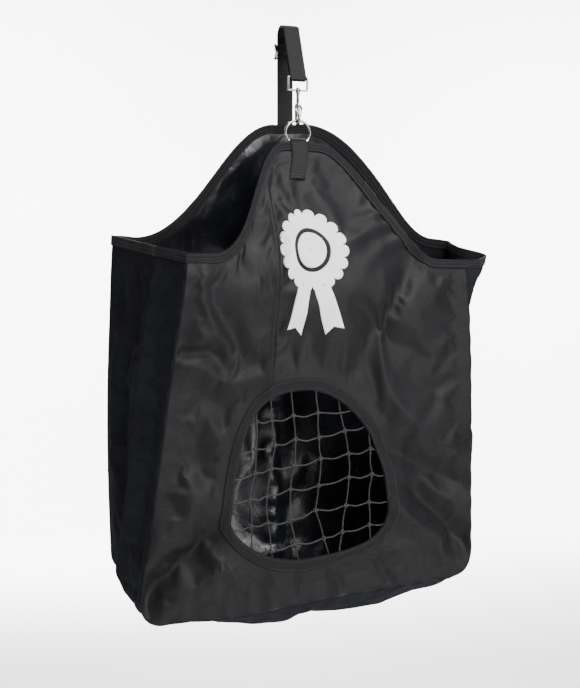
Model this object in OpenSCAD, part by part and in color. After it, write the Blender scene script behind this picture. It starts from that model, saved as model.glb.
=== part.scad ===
// Hanging hay bag: a soft bag with a netted feeding hole, hung by an adjustable webbing strap.
// The origin is the centre of the strap's top bend, where a hook or bar goes. +Z is up, the front faces -Y.
// Heights below are measured upwards from the bottom seam of the front panel.

/* [Bag] */
// Width of the front and back panels
bag_w = 500; // [380:5:640]
// Depth of the bag, seam to seam
bag_d = 180; // [140:5:240]
// Height of the mouth at the sides
side_h = 480; // [380:5:640]
// Height of the front panel's peak
front_peak_h = 645; // [600:5:800]
// Height of the back panel's peak
back_peak_h = 680; // [640:5:840]
// Radius of the bottom corners
corner_r = 35; // [15:1:60]
// How far the base hangs below its seams
base_sag = 25; // [0:1:40]
// How far the sides belly out at mid height
side_belly = 15; // [0:1:30]
// Thickness of the coated cloth with its seam allowances
cloth_t = 2; // [1:0.5:3]

/* [Peaks] */
// Half width of the front peak's rounded top
front_crown = 22; // [10:1:50]
// Half width of the front peak at its foot
front_foot = 185; // [120:5:185]
// Half width of the back peak's rounded top
back_crown = 34; // [10:1:50]
// Half width of the back peak at its foot
back_foot = 188; // [120:5:188]
// Distance of the front peak in front of the hanging point
front_reach = 39; // [30:1:60]
// Distance of the middle of the base in front of the hanging point
base_reach = 35; // [10:1:60]
// How far below the mouth the panels start to lean inwards
lean_drop = 60; // [20:5:100]
// Height over which the lean bends in
lean_bend = 80; // [40:5:100]

/* [Feeding hole] */
// Radius of the clear hole inside its tape
hole_r = 110; // [70:1:125]
// Width of the flat tape round the hole
hole_tape_w = 17; // [10:1:25]
// Height of the hole's centre
hole_h = 161; // [155:1:230]
// Spacing of the net's cords
mesh = 37; // [25:1:60]
// Diameter of the net's cord
cord_d = 2.2; // [1.5:0.1:4]

/* [Tape and webbing] */
// Width that the folded mouth tape shows on each side
edge_tape_w = 12; // [8:1:16]
// Thickness of one layer of tape
tape_t = 1; // [0.5:0.1:1.5]
// Width of the webbing
web_w = 25; // [20:1:40]
// Thickness of the webbing
web_t = 1.5; // [1:0.1:2.5]
// Length of the ring tab's front leg below the ring
tab_l = 62; // [40:1:90]
// Length of strap sewn to the back panel
anchor_l = 62; // [40:1:90]

/* [Hanging strap] */
// Height of the hanging point
hang_h = 812; // [790:1:900]
// Radius of the hook or bar that the strap bends over
hook_bar_r = 12; // [8:0.5:14]
// Height of the slider's centre bar
slider_h = 790; // [760:1:790]

/* [Metalwork] */
// Diameter of the D-ring's wire
ring_wire = 4; // [3:0.5:5]
// Gap between the webbing's edge and the D-ring's leg
ring_gap = 4.5; // [2:0.5:10]
// Height of the D-ring's legs
ring_leg = 10; // [4:0.5:16]
// Diameter of the wire of the snap's eye and of the slider
frame_wire = 3; // [2:0.5:4]
// Height inside the snap's eye
eye_h = 16; // [6.5:0.5:20]
// Height of the slider between its outer bars' middles
slider_span = 19; // [17:0.5:24]
// Diameter of the snap's hook wire
hook_wire = 4; // [3:0.5:5]
// Radius inside the snap's hook
hook_r = 4; // [3.5:0.5:6]
// Length of the snap's gate from its pin
gate_l = 17.5; // [15:0.5:22]

/* [Print] */
// Radius of the rosette printed on the front
rosette_r = 50; // [30:1:55]
// Height of the rosette's centre
rosette_h = 490; // [470:5:510]
// Width of each ribbon tail
tail_w = 24; // [12:1:32]
// Length of each ribbon tail
tail_l = 66; // [30:1:80]
// Number of pleats round the rosette
pleats = 18; // [12:1:24]

/* [Hidden] */
$fn = 48;

fit = 0.1;               // play between webbing and the bar inside it
swivel_play = 0.2;       // end play of the swivel
run = 0.05;              // running clearance of the metal pivots, and of thread on leaning webbing
print_t = 0.3;           // thickness of the print
thread_t = 0.4;          // how far a stitch stands out of the webbing
thread_w = 1;            // width of a row of stitches
seat = 0.1;              // how far the hook or bar sinks into the webbing

// Hanging point and strap layers, in the plane across the bag
hang = [0, hang_h];
inner_r = hook_bar_r - seat;             // inner layer's inside radius
outer_r = inner_r + web_t + fit;         // outer layer's inside radius
rear_y = outer_r;                        // front face of the strap's rear strand
ring_y = -front_reach;                   // plane of the ring and of the snap
front_y = ring_y - cloth_t / 2;          // outside of the front panel at its peak
back_y = rear_y - tape_t;                // outside of the back panel at its peak
base_y = -base_reach;                    // middle of the bag's depth at the base
wall_h = side_h - lean_drop;             // height where the lean starts

// The D-ring: its bar is held by the tab just over the peak
ring_bow_r = web_w / 2 + ring_gap + ring_wire / 2;
tab_r = max(cloth_t / 2 + tape_t, ring_wire / 2) + fit;
tab_gap = tab_r - cloth_t / 2;           // between the front panel and the tab's legs
ring_bar_h = front_peak_h + tape_t + ring_wire / 2 + 5;
ring_top_h = ring_bar_h + ring_leg + ring_bow_r;

// The snap: the hook's inside rests a little under the ring's wire
hook_slack = 1.2;
hook_h = ring_top_h - ring_wire / 2 - hook_slack + hook_r;
hook_mid_r = hook_r + hook_wire / 2;
pin_h = hook_h + 2.2 + gate_l;
pin_y = 3.2;
pin_r = 0.9;
pin_l = 7.4;
stem_top_h = pin_h + 21;
boss_h = 4;
boss_r = 3.5;
neck_r = 1.6;
eye_bar_h = stem_top_h + swivel_play + boss_h / 2;
eye_top_h = eye_bar_h + eye_h + frame_wire;
eye_rail_x = web_w / 2 + 0.5 + frame_wire / 2;
eye = [ring_y, eye_top_h];

// The slider: its centre bar is in front of the strap and its outer bars behind it
fold_r = frame_wire / 2 + fit;
bar_y = inner_r - fit - frame_wire / 2;
outer_bar_y = rear_y + web_t + fit + frame_wire / 2;

// Lean of a panel: upright, then bending in over lean_bend in flat steps, then straight to its peak
lean_step = 10;
function bent(s, k) = s <= 0 ? 0 : s < lean_bend ? k * s * s / (2 * lean_bend) : k * (s - lean_bend / 2);
function lean(s, rise, reach) =
    let (k = reach / (rise - lean_bend / 2), low = floor(s / lean_step) * lean_step)
    bent(low, k) + (s - low) / lean_step * (bent(low + lean_step, k) - bent(low, k));
function front_face(h) = base_y - bag_d / 2
    + lean(h - wall_h, front_peak_h - wall_h, front_y - base_y + bag_d / 2);
function back_face(h) = base_y + bag_d / 2
    - lean(h - wall_h, back_peak_h - wall_h, base_y + bag_d / 2 - back_y);

function wall_heights(low, high) =
    concat([low], [for (h = [wall_h : lean_step : wall_h + lean_bend]) if (h > low && h < high) h], [high]);

// Upper edge of a panel: level at the sides, rising to a rounded peak
function crown(x, crown_w, foot_w) =
    let (u = (min(abs(x), foot_w) - crown_w) / (foot_w - crown_w))
    u <= 0 ? 1 : (1 + cos(180 * u)) / 2;
edge_step = 20;
function edge_xs(crown_w, foot_w) = concat(
    [-bag_w / 2],
    [for (i = [-edge_step : edge_step]) foot_w * sin(90 * i / edge_step)],
    [bag_w / 2]);
function edge_points(peak_h, crown_w, foot_w) =
    [for (x = edge_xs(crown_w, foot_w)) [x, side_h + (peak_h - side_h) * crown(x, crown_w, foot_w)]];
front_edge = edge_points(front_peak_h, front_crown, front_foot);
back_edge = edge_points(back_peak_h, back_crown, back_foot);

// A line moved sideways by d, square to its run at each point
function along(p, i) = p[min(i + 1, len(p) - 1)] - p[max(i - 1, 0)];
function moved(p, d) =
    [for (i = [0 : len(p) - 1]) p[i] + d * [-along(p, i)[1], along(p, i)[0]] / norm(along(p, i))];
function reversed(p) = [for (i = [len(p) - 1 : -1 : 0]) p[i]];

// Puts a drawing of the side view, [y, z], into place, and one of the front view, [x, z]
module side_view() { rotate([90, 0, 90]) children(); }
module front_view() { rotate([90, 0, 0]) children(); }
module from_seam() { translate([0, 0, -hang_h]) children(); }

// A layer of cloth that follows the front or the back panel, from a to b outside its outer face
module front_layer(a, b, low, high, width) {
    heights = wall_heights(low, high);
    side_view() linear_extrude(width, center = true) polygon(concat(
        [for (h = heights) [front_face(h) - b, h]],
        [for (h = reversed(heights)) [front_face(h) - a, h]]));
}
module back_layer(a, b, low, high, width) {
    heights = wall_heights(low, high);
    side_view() linear_extrude(width, center = true) polygon(concat(
        [for (h = heights) [back_face(h) + b, h]],
        [for (h = reversed(heights)) [back_face(h) + a, h]]));
}

// Rounded bottom corners, the same on the panels and on the gusset
corner_steps = 6;
function corner(r, x) = [for (i = [0 : corner_steps]) [x - r + r * cos(90 * i / corner_steps),
                                                       corner_r - r * sin(90 * i / corner_steps)]];
module panel_outline(edge) {
    right = corner(corner_r, bag_w / 2);
    polygon(concat(edge, right, [for (p = reversed(right)) [-p[0], p[1]]]));
}
module extruded_front_view() {
    front_view() linear_extrude(4 * bag_d, center = true) children();
}
module front_cloth() {
    intersection() {
        extruded_front_view() panel_outline(front_edge);
        front_layer(-cloth_t, 0, 0, front_peak_h, bag_w);
    }
}
module back_cloth() {
    intersection() {
        extruded_front_view() panel_outline(back_edge);
        back_layer(-cloth_t, 0, 0, back_peak_h, bag_w);
    }
}

module front_panel() {
    color("#2b2c2f") from_seam() difference() {
        front_cloth();
        translate([0, front_face(0), hole_h]) rotate([90, 0, 0])
            cylinder(h = 4 * cloth_t, r = hole_r + 2, center = true);
    }
}
module back_panel() { color("#26272a") from_seam() back_cloth(); }

// The gusset is one strip: down one side, round the corners, across the base and up the other side
function half_strip(r, x) = concat(
    [for (h = reversed(wall_heights(wall_h, side_h))) [x, h]],
    [for (i = [3 : -1 : 1]) [x, corner_r + (wall_h - corner_r) * i / 4]],
    corner(r, x),
    [for (i = [3 : -1 : 1]) [(bag_w / 2 - corner_r) * i / 4, corner_r - r]]);
function strip(inset) =
    let (half = half_strip(corner_r - inset, bag_w / 2 - inset))
    concat([for (p = half) [-p[0], p[1]]], [[0, inset]], reversed(half));
strip_rows = 8;
belly_top_h = side_h - 2 * edge_tape_w;
function belly(p) =
    side_belly * sign(p[0]) * sin(180 * max(0, min(1, (p[1] - corner_r) / (belly_top_h - corner_r))));
function sag(p) = p[1] > corner_r ? 0 : base_sag * (1 - pow(2 * p[0] / bag_w, 2));
function strip_point(p, v) =
    let (swell = 1 - pow(2 * v - 1, 2), front = front_face(p[1]) + cloth_t, back = back_face(p[1]) - cloth_t)
    [p[0] + belly(p) * swell, front + (back - front) * v, p[1] - sag(p) * swell];
module gusset() {
    outer = strip(0);
    inner = strip(cloth_t);
    n = len(outer);
    row = strip_rows + 1;
    points = concat([for (p = outer, j = [0 : strip_rows]) strip_point(p, j / strip_rows)],
                    [for (p = inner, j = [0 : strip_rows]) strip_point(p, j / strip_rows)]);
    in = n * row;
    color("#1f2125") from_seam() polyhedron(points = points, convexity = 6, faces = concat(
        [for (i = [0 : n - 2], j = [0 : strip_rows - 1])
            [i * row + j, i * row + j + 1, (i + 1) * row + j + 1, (i + 1) * row + j]],
        [for (i = [0 : n - 2], j = [0 : strip_rows - 1])
            [in + (i + 1) * row + j, in + (i + 1) * row + j + 1, in + i * row + j + 1, in + i * row + j]],
        [for (i = [0 : n - 2], j = [0, strip_rows]) j == 0
            ? [i * row, (i + 1) * row, in + (i + 1) * row, in + i * row]
            : [in + i * row + j, in + (i + 1) * row + j, (i + 1) * row + j, i * row + j]],
        [for (j = [0 : strip_rows - 1], i = [0, n - 1]) i == 0
            ? [in + j, in + j + 1, j + 1, j]
            : [i * row + j, i * row + j + 1, in + i * row + j + 1, in + i * row + j]]));
}

// The mouth tape is folded over every edge of the mouth
module edge_band(edge) {
    ends = [[-bag_w / 2 - tape_t, side_h], [bag_w / 2 + tape_t, side_h]];
    line = concat([ends[0]], edge, [ends[1]]);
    polygon(concat(moved(line, tape_t), reversed(moved(line, -edge_tape_w))));
}
module side_tape(grow, high) {
    heights = wall_heights(side_h - edge_tape_w, high);
    for (side = [-1, 1]) translate([side * (bag_w - cloth_t) / 2, 0, 0]) side_view()
        linear_extrude(cloth_t + 2 * grow, center = true) polygon(concat(
            [for (h = heights) [front_face(h) + cloth_t, h]],
            [for (h = reversed(heights)) [back_face(h) - cloth_t, h]]));
}
module mouth_binding() {
    wide = bag_w + 4 * tape_t;
    color("#1b1c1e") from_seam() difference() {
        union() {
            intersection() {
                extruded_front_view() edge_band(front_edge);
                front_layer(-cloth_t - tape_t, tape_t, side_h - 2 * edge_tape_w, front_peak_h + tape_t, wide);
            }
            intersection() {
                extruded_front_view() edge_band(back_edge);
                back_layer(-cloth_t - tape_t, tape_t, side_h - 2 * edge_tape_w, back_peak_h + tape_t, wide);
            }
            side_tape(tape_t, side_h + tape_t);
        }
        front_cloth();
        back_cloth();
        side_tape(0, side_h);
    }
}

module hole_binding() {
    color("#1b1c1e") from_seam() translate([0, front_face(0), hole_h]) rotate([90, 0, 0]) difference() {
        cylinder(h = tape_t, r = hole_r + hole_tape_w);
        translate([0, 0, -1]) cylinder(h = tape_t + 2, r = hole_r);
    }
}

// The net: straight cords both ways, one layer behind the other, ending under the hole's tape
module feed_net() {
    count = floor((hole_r - cord_d) / mesh + 0.5);
    color("#3a3b3d") from_seam() translate([0, front_face(0), hole_h]) intersection() {
        rotate([-90, 0, 0]) cylinder(h = 3 * cord_d, r = hole_r + 2);
        for (i = [-count : count - 1]) {
            at = (i + 0.5) * mesh;
            translate([at, cord_d / 2, 0]) cylinder(h = 3 * hole_r, d = cord_d, center = true);
            translate([0, cord_d * 1.5 + run, at]) rotate([0, 90, 0])
                cylinder(h = 3 * hole_r, d = cord_d, center = true);
        }
    }
}

// A pleated show rosette with two ribbon tails
module rosette_outline() {
    pleat_r = rosette_r * sin(180 / pleats);
    difference() {
        union() {
            circle(rosette_r);
            for (i = [0 : pleats - 1]) rotate(i * 360 / pleats) translate([rosette_r, 0]) circle(pleat_r);
        }
        difference() {
            circle(0.62 * rosette_r);
            circle(0.5 * rosette_r);
        }
    }
    for (side = [-1, 1]) rotate(side * 16) translate([0, -rosette_r]) polygon([
        [-tail_w / 2, 0], [tail_w / 2, 0], [0.6 * tail_w, -tail_l], [0, 0.3 * tail_w - tail_l],
        [-0.6 * tail_w, -tail_l]]);
}
module rosette_print() {
    color("#f2f2f0") from_seam() intersection() {
        extruded_front_view() translate([0, rosette_h]) rosette_outline();
        front_layer(0, print_t, rosette_h - rosette_r - tail_l, front_peak_h, 4 * rosette_r);
    }
}

// One stretch of webbing round a bar, between two angles of the side view
module web_arc(centre, r, from, to) {
    side_view() translate(centre) rotate(from) rotate_extrude(angle = to - from)
        translate([r, -web_w / 2]) square([web_t, web_w]);
}
module web_strip(low, high, y) {
    translate([-web_w / 2, y, low]) cube([web_w, web_t, high - low]);
}

module ring_tab() {
    low = ring_bar_h - tab_l;
    color("#202124") from_seam() {
        web_arc([ring_y, ring_bar_h], tab_r, 0, 180);
        web_strip(front_peak_h, ring_bar_h, ring_y - tab_r - web_t);
        web_strip(front_peak_h, ring_bar_h, ring_y + tab_r);
        front_layer(tab_gap, tab_gap + web_t, low, front_peak_h, web_w);
        front_layer(-cloth_t - tab_gap - web_t, -cloth_t - tab_gap, low, front_peak_h, web_w);
    }
}
module tab_stitching() {
    low = ring_bar_h - tab_l;
    out = tab_gap + web_t;
    color("#101112") from_seam() for (h = [low + 2, low + 5, front_peak_h - edge_tape_w])
        front_layer(out, out + thread_t, h, h + thread_w, web_w - 4);
}

// The D-ring: a straight bar in the tab, two legs that spread upwards and a round bow
ring_foot_x = web_w / 2 + ring_wire / 2 + 0.5;
leg_slant = atan((ring_bow_r - ring_foot_x) / ring_leg);
leg_run = norm([ring_bow_r - ring_foot_x, ring_leg]);
ring_bend = ring_wire + 0.1; // the wire is slightly thicker where it bends
module d_ring() {
    color("#c9cacc") from_seam() translate([0, ring_y, ring_bar_h]) {
        rotate([0, 90, 0]) cylinder(h = 2 * ring_foot_x, d = ring_wire, center = true);
        for (side = [-1, 1]) {
            translate([side * ring_foot_x, 0, 0]) {
                sphere(d = ring_bend);
                rotate([0, side * leg_slant, 0]) cylinder(h = leg_run, d = ring_wire);
            }
            translate([side * ring_bow_r, 0, ring_leg]) sphere(d = ring_bend);
        }
        translate([0, 0, ring_leg]) rotate([90, 0, 0]) rotate_extrude(angle = 180)
            translate([ring_bow_r, 0]) circle(d = ring_wire);
    }
}

// The strap is one ribbon: up from the back panel, over the bend, down in front, round the eye's bar,
// and up and over the bend again inside itself. Its path is the middle of the webbing.
span = eye - hang;
span_a = atan2(span[1], span[0]) + 360;
outer_a = span_a - acos((outer_r - fold_r) / norm(span));
inner_a = span_a - acos((inner_r + web_t + fold_r) / norm(span));
half_t = web_t / 2;
function arc(centre, r, from, to, steps) =
    [for (i = [0 : steps]) let (a = from + (to - from) * i / steps) centre + r * [cos(a), sin(a)]];
strap_path = concat(
    [for (h = wall_heights(back_peak_h - anchor_l, back_peak_h)) [back_face(h) + tape_t + half_t, h]],
    arc(hang, outer_r + half_t, 0, outer_a, 24),
    arc(eye, fold_r + half_t, outer_a, inner_a + 180, 16),
    arc(hang, inner_r + half_t, inner_a, 0, 24));
module hanging_strap() {
    color("#202124") from_seam() difference() {
        side_view() linear_extrude(web_w, center = true)
            polygon(concat(moved(strap_path, half_t), reversed(moved(strap_path, -half_t))));
        translate([0, 0, hang_h]) rotate([0, 90, 0]) cylinder(h = 2 * web_w, r = hook_bar_r, center = true);
    }
}
// From the bend down to the slider
module strap_return() {
    color("#202124") from_seam() web_strip(slider_h + fold_r + web_t, hang_h, inner_r);
}
// The strap's end goes round the slider's centre bar and is sewn to itself
module strap_end_fold() {
    color("#202124") from_seam() {
        web_arc([bar_y, slider_h], fold_r, 0, 360);
        web_strip(slider_h + fold_r + web_t / 2, slider_h + fold_r + web_t + 9, bar_y - web_t / 2);
    }
}
module strap_end_stitching() {
    color("#101112") from_seam() for (h = [4, 7])
        translate([-web_w / 2 + 2, bar_y - web_t / 2 - thread_t, slider_h + fold_r + web_t + h])
        cube([web_w - 4, thread_t, thread_w]);
}
module anchor_stitching() {
    out = tape_t + web_t + run;
    low = back_peak_h - anchor_l;
    color("#101112") from_seam() for (h = [low + 2, low + 5, back_peak_h - 22, back_peak_h - edge_tape_w])
        back_layer(out, out + thread_t, h, h + thread_w, web_w - 4);
}

// A bar across the webbing
module cross_bar(y, h, x) {
    translate([0, y, h]) rotate([0, 90, 0]) cylinder(h = 2 * x, d = frame_wire, center = true);
}
// The slider: three bars between two side rails that bend round the strap
module rail_outline() {
    out = outer_bar_y - bar_y;
    up = slider_span / 2;
    rail_w = frame_wire + 0.6;
    end = [out, up] * (1 + rail_w / 2 / norm([out, up]));
    line = [end, [0, 0], [end[0], -end[1]]];
    polygon(concat(moved(line, rail_w / 2), reversed(moved(line, -rail_w / 2))));
}
module slider() {
    color("#bfc0c2") from_seam() {
        cross_bar(bar_y, slider_h, eye_rail_x);
        for (end = [-1, 1]) cross_bar(outer_bar_y, slider_h + end * slider_span / 2, eye_rail_x);
        for (side = [-1, 1]) translate([side * eye_rail_x, 0, 0])
            side_view() translate([bar_y, slider_h]) linear_extrude(frame_wire, center = true) rail_outline();
    }
}

module snap_eye() {
    color("#c9cacc") from_seam() translate([0, ring_y, 0]) difference() {
        union() {
            for (h = [eye_bar_h, eye_top_h]) {
                cross_bar(0, h, eye_rail_x);
                for (side = [-1, 1]) translate([side * eye_rail_x, 0, h]) sphere(d = frame_wire);
            }
            for (side = [-1, 1]) translate([side * eye_rail_x, 0, eye_bar_h])
                cylinder(h = eye_top_h - eye_bar_h, d = frame_wire);
            translate([0, 0, eye_bar_h - boss_h / 2]) cylinder(h = boss_h, r = boss_r);
        }
        translate([0, 0, eye_bar_h - boss_h]) cylinder(h = 2 * boss_h, r = neck_r + run);
    }
}

// The snap's body: a riveted neck in the eye, a round stem, a flat spine in front and the hook under it
spine_w = 8.4;
spine_top_h = pin_h - 2.5;
module snap_body() {
    tip_l = 4.2;
    head_h = 1.5;
    collar_h = 2.5;
    color("#c4c5c8") from_seam() translate([0, ring_y, 0]) difference() {
        union() {
            translate([0, 0, stem_top_h + boss_h + 2 * swivel_play]) cylinder(h = head_h, r = neck_r + 1.15);
            translate([0, 0, stem_top_h - 1]) cylinder(h = boss_h + 2 * swivel_play + 1.5, r = neck_r);
            translate([0, 0, stem_top_h - collar_h]) cylinder(h = collar_h, r = boss_r - 0.3);
            translate([0, 0, spine_top_h + 4]) cylinder(h = stem_top_h - spine_top_h - 5, r = 2.4);
            hull() {
                translate([0, 0, spine_top_h + 6]) cylinder(h = 0.5, r = 2.4, $fn = 32);
                translate([-spine_w / 2, -hook_mid_r - 1.5, spine_top_h - 1]) cube([spine_w, 3, 1]);
            }
            hull() {
                translate([-spine_w / 2, -hook_mid_r - 1.5, spine_top_h - 1]) cube([spine_w, 3, 1]);
                translate([0, -hook_mid_r, hook_h + 3]) cylinder(h = 0.5, d = hook_wire, $fn = 32);
            }
            translate([0, -hook_mid_r, hook_h]) cylinder(h = 3.5, d = hook_wire);
            side_view() translate([0, hook_h]) rotate(180) rotate_extrude(angle = 180)
                translate([hook_mid_r, 0]) circle(d = hook_wire);
            translate([0, hook_mid_r, hook_h]) cylinder(h = tip_l, d = hook_wire);
            translate([0, hook_mid_r, hook_h + tip_l]) sphere(d = hook_wire);
            translate([-2.2, -2, pin_h - 3]) cube([2.4, pin_y + 4, 7]);
        }
        translate([-pin_l, pin_y, pin_h]) rotate([0, 90, 0]) cylinder(h = 2 * pin_l, r = pin_r);
    }
}
module gate_pin() {
    color("#a9aaad") from_seam() translate([-pin_l / 2, ring_y + pin_y, pin_h]) rotate([0, 90, 0])
        cylinder(h = pin_l, r = pin_r);
}
// The gate: two ears on the pin and a lever that closes inside the hook's tip
module snap_gate() {
    ear_x = 2.4;
    ear_t = 1;
    ear_r = 2.4;
    outside = hook_r - fit;
    color("#b4b5b8") from_seam() translate([0, ring_y, 0]) difference() {
        union() {
            for (side = [-1, 1]) translate([side * (ear_x + ear_t / 2), 0, 0]) {
                translate([0, pin_y, pin_h]) rotate([0, 90, 0]) cylinder(h = ear_t, r = ear_r, center = true);
                translate([-ear_t / 2, outside - 2, pin_h - 6]) cube([ear_t, 2, 6]);
            }
            translate([-ear_x - ear_t, outside - 2, pin_h - gate_l]) cube([2 * (ear_x + ear_t), 2, gate_l - 5]);
        }
        translate([-pin_l, pin_y, pin_h]) rotate([0, 90, 0]) cylinder(h = 2 * pin_l, r = pin_r + run);
    }
}
// The torsion spring on the pin, with its two short legs
module gate_spring() {
    wire = 0.6;
    low_x = 0.4;
    length = 1.8;
    leg_w = 0.5;
    leg_t = 0.3;
    color("#8f9093") from_seam() translate([low_x, ring_y + pin_y, pin_h]) {
        rotate([0, 90, 0]) difference() {
            cylinder(h = length, r = pin_r + 0.2 + wire);
            translate([0, 0, -1]) cylinder(h = length + 2, r = pin_r + 0.2);
        }
        translate([length - leg_w, -pin_r - 0.55, 0]) cube([leg_w, leg_t, 3.5]);
    }
}

front_panel();
back_panel();
gusset();
mouth_binding();
hole_binding();
feed_net();
rosette_print();
ring_tab();
tab_stitching();
d_ring();
hanging_strap();
strap_return();
strap_end_fold();
strap_end_stitching();
anchor_stitching();
slider();
snap_eye();
snap_body();
snap_gate();
gate_pin();
gate_spring();
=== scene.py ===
import math
import bmesh
import bpy
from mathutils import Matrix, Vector, noise
from mathutils.bvhtree import BVHTree


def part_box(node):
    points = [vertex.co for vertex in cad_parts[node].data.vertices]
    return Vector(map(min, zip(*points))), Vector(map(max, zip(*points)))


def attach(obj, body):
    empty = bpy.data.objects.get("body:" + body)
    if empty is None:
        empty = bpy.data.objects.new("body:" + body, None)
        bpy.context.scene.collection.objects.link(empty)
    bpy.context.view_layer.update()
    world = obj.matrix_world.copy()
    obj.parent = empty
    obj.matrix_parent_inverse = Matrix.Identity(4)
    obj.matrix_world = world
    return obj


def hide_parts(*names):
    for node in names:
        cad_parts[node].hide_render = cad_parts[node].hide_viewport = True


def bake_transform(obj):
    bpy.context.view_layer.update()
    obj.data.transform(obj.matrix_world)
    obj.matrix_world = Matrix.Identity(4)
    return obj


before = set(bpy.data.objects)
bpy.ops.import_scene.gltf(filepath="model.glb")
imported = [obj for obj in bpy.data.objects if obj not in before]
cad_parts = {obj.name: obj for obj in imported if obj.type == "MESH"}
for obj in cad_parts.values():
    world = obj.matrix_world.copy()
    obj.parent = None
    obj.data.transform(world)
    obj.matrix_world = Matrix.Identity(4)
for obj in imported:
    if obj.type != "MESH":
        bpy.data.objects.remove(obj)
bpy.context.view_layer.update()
scene = bpy.context.scene
mm = 0.001


def ease(t):
    t = max(0.0, min(1.0, t))
    return t * t * (3 - 2 * t)


def hump(t):
    return math.exp(-t * t)


def mix(a, b, t):
    return a + (b - a) * t


# The bag hangs from the frame's origin, and the camera stands left of its front.
look = dict(place=(-0.836, -2.213, -0.465), target=(0.0, -0.035, -0.458), lens=84.2,
            shiftX=-0.0099, shiftY=0.0044)
camera = bpy.data.objects.new("camera", bpy.data.cameras.new("camera"))
camera.location = look["place"]
camera.rotation_euler = (Vector(look["target"]) - Vector(look["place"])).to_track_quat("-Z", "Y").to_euler()
camera.data.lens = look["lens"]
camera.data.shift_x = look["shiftX"]
camera.data.shift_y = look["shiftY"]
scene.collection.objects.link(camera)
scene.camera = camera


def colour(code):
    # an sRGB hex value as linear colour
    parts = [int(code[i:i + 2], 16) / 255 for i in (1, 3, 5)]
    return [p / 12.92 if p <= 0.04045 else ((p + 0.055) / 1.055) ** 2.4 for p in parts] + [1.0]


def addNode(tree, kind, settings=None, links=None):
    # settings: the node's own fields, or numbers for its inputs; links: input name to output socket
    node = tree.nodes.new(kind)
    for key, value in (settings or {}).items():
        if isinstance(key, str) and hasattr(node, key):
            setattr(node, key, value)
        else:
            node.inputs[key].default_value = value
    for key, socket in (links or {}).items():
        tree.links.new(socket, node.inputs[key])
    return node


def newMaterial(name, finish):
    material = bpy.data.materials.new(name)
    material.use_nodes = True
    tree = material.node_tree
    shader = tree.nodes["Principled BSDF"]
    for key, value in finish.items():
        shader.inputs[key].default_value = value
    return material, tree, shader


def ramp(tree, factor, low, high, stops=(0.0, 1.0)):
    node = addNode(tree, "ShaderNodeValToRGB", links={"Fac": factor})
    node.color_ramp.elements[0].position = stops[0]
    node.color_ramp.elements[1].position = stops[1]
    node.color_ramp.elements[0].color = colour(low)
    node.color_ramp.elements[1].color = colour(high)
    return node.outputs["Color"]


def dyed(tree, shader, factor, dark, light, stops=(0.0, 1.0)):
    tree.links.new(ramp(tree, factor, dark, light, stops), shader.inputs["Base Color"])


def roughened(tree, shader, factor, low, high, stops):
    # roughness between two greys, read from a pattern
    grey = addNode(tree, "ShaderNodeSeparateColor", links={0: ramp(tree, factor, low, high, stops)})
    tree.links.new(grey.outputs[0], shader.inputs["Roughness"])


def addBump(tree, shader, height, strength, distance, before=None):
    links = {"Height": height}
    if before is not None:
        links["Normal"] = before
    bump = addNode(tree, "ShaderNodeBump", {"Strength": strength, "Distance": distance}, links)
    tree.links.new(bump.outputs["Normal"], shader.inputs["Normal"])
    return bump.outputs["Normal"]


def wovenHeight(tree, threads, turn=0.0):
    # a plain weave in the sheet's own UV, which is in metres: threads over and under, both ways
    place = addNode(tree, "ShaderNodeTexCoord").outputs["UV"]
    turned = addNode(tree, "ShaderNodeMapping", {"Rotation": (0, 0, turn)}, {"Vector": place})
    split = addNode(tree, "ShaderNodeSeparateXYZ", links={0: turned.outputs[0]})
    waves = []
    for axis in (0, 1):
        turns = addNode(tree, "ShaderNodeMath", {"operation": "MULTIPLY", 1: 2 * math.pi / threads[axis]},
                        {0: split.outputs[axis]})
        waves.append(addNode(tree, "ShaderNodeMath", {"operation": "SINE"}, {0: turns.outputs[0]}))
    product = addNode(tree, "ShaderNodeMath", {"operation": "MULTIPLY"},
                      {0: waves[0].outputs[0], 1: waves[1].outputs[0]})
    return addNode(tree, "ShaderNodeMath", {"operation": "MULTIPLY_ADD", 1: 0.5, 2: 0.5},
                   {0: product.outputs[0]}).outputs[0]


def grain(tree, size, detail=3.0, rough=0.55, distortion=0.0, stretch=(1, 1, 1)):
    place = addNode(tree, "ShaderNodeTexCoord").outputs["Object"]
    stretched = addNode(tree, "ShaderNodeMapping", {"Scale": stretch}, {"Vector": place})
    return addNode(tree, "ShaderNodeTexNoise", {"Scale": 1 / size, "Detail": detail, "Roughness": rough,
                                                "Distortion": distortion},
                   {"Vector": stretched.outputs[0]}).outputs["Fac"]


clothThreads = (1.6 * mm, 1.6 * mm)     # the real spacing is 0.5 mm; this is the finest that shows


def outerCloth(name, dark, light, gloss):
    # Polyester oxford, a black dyed plain weave: dull, slightly uneven in tone and worn in patches
    material, tree, shader = newMaterial(name, {"Specular IOR Level": gloss, "Sheen Weight": 0.02,
                                                "Sheen Roughness": 0.4})
    weave = wovenHeight(tree, clothThreads)
    fleck = grain(tree, 2.2 * mm, 2.0, 0.7)
    cloudy = grain(tree, 60 * mm, 2.0, 0.5)
    mixed = addNode(tree, "ShaderNodeMath", {"operation": "MULTIPLY_ADD", 1: 0.35}, {0: weave, 2: fleck})
    toned = addNode(tree, "ShaderNodeMath", {"operation": "MULTIPLY_ADD", 1: 0.4},
                    {0: cloudy, 2: mixed.outputs[0]})
    dyed(tree, shader, toned.outputs[0], dark, light, (0.55, 1.25))
    roughened(tree, shader, cloudy, "#a6a6a6", "#c4c4c4", (0.3, 0.7))
    soft = addBump(tree, shader, grain(tree, 16 * mm, 3.0, 0.5), 0.35, 1.2 * mm)
    addBump(tree, shader, mixed.outputs[0], 0.4, 0.35 * mm, soft)
    return material


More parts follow.
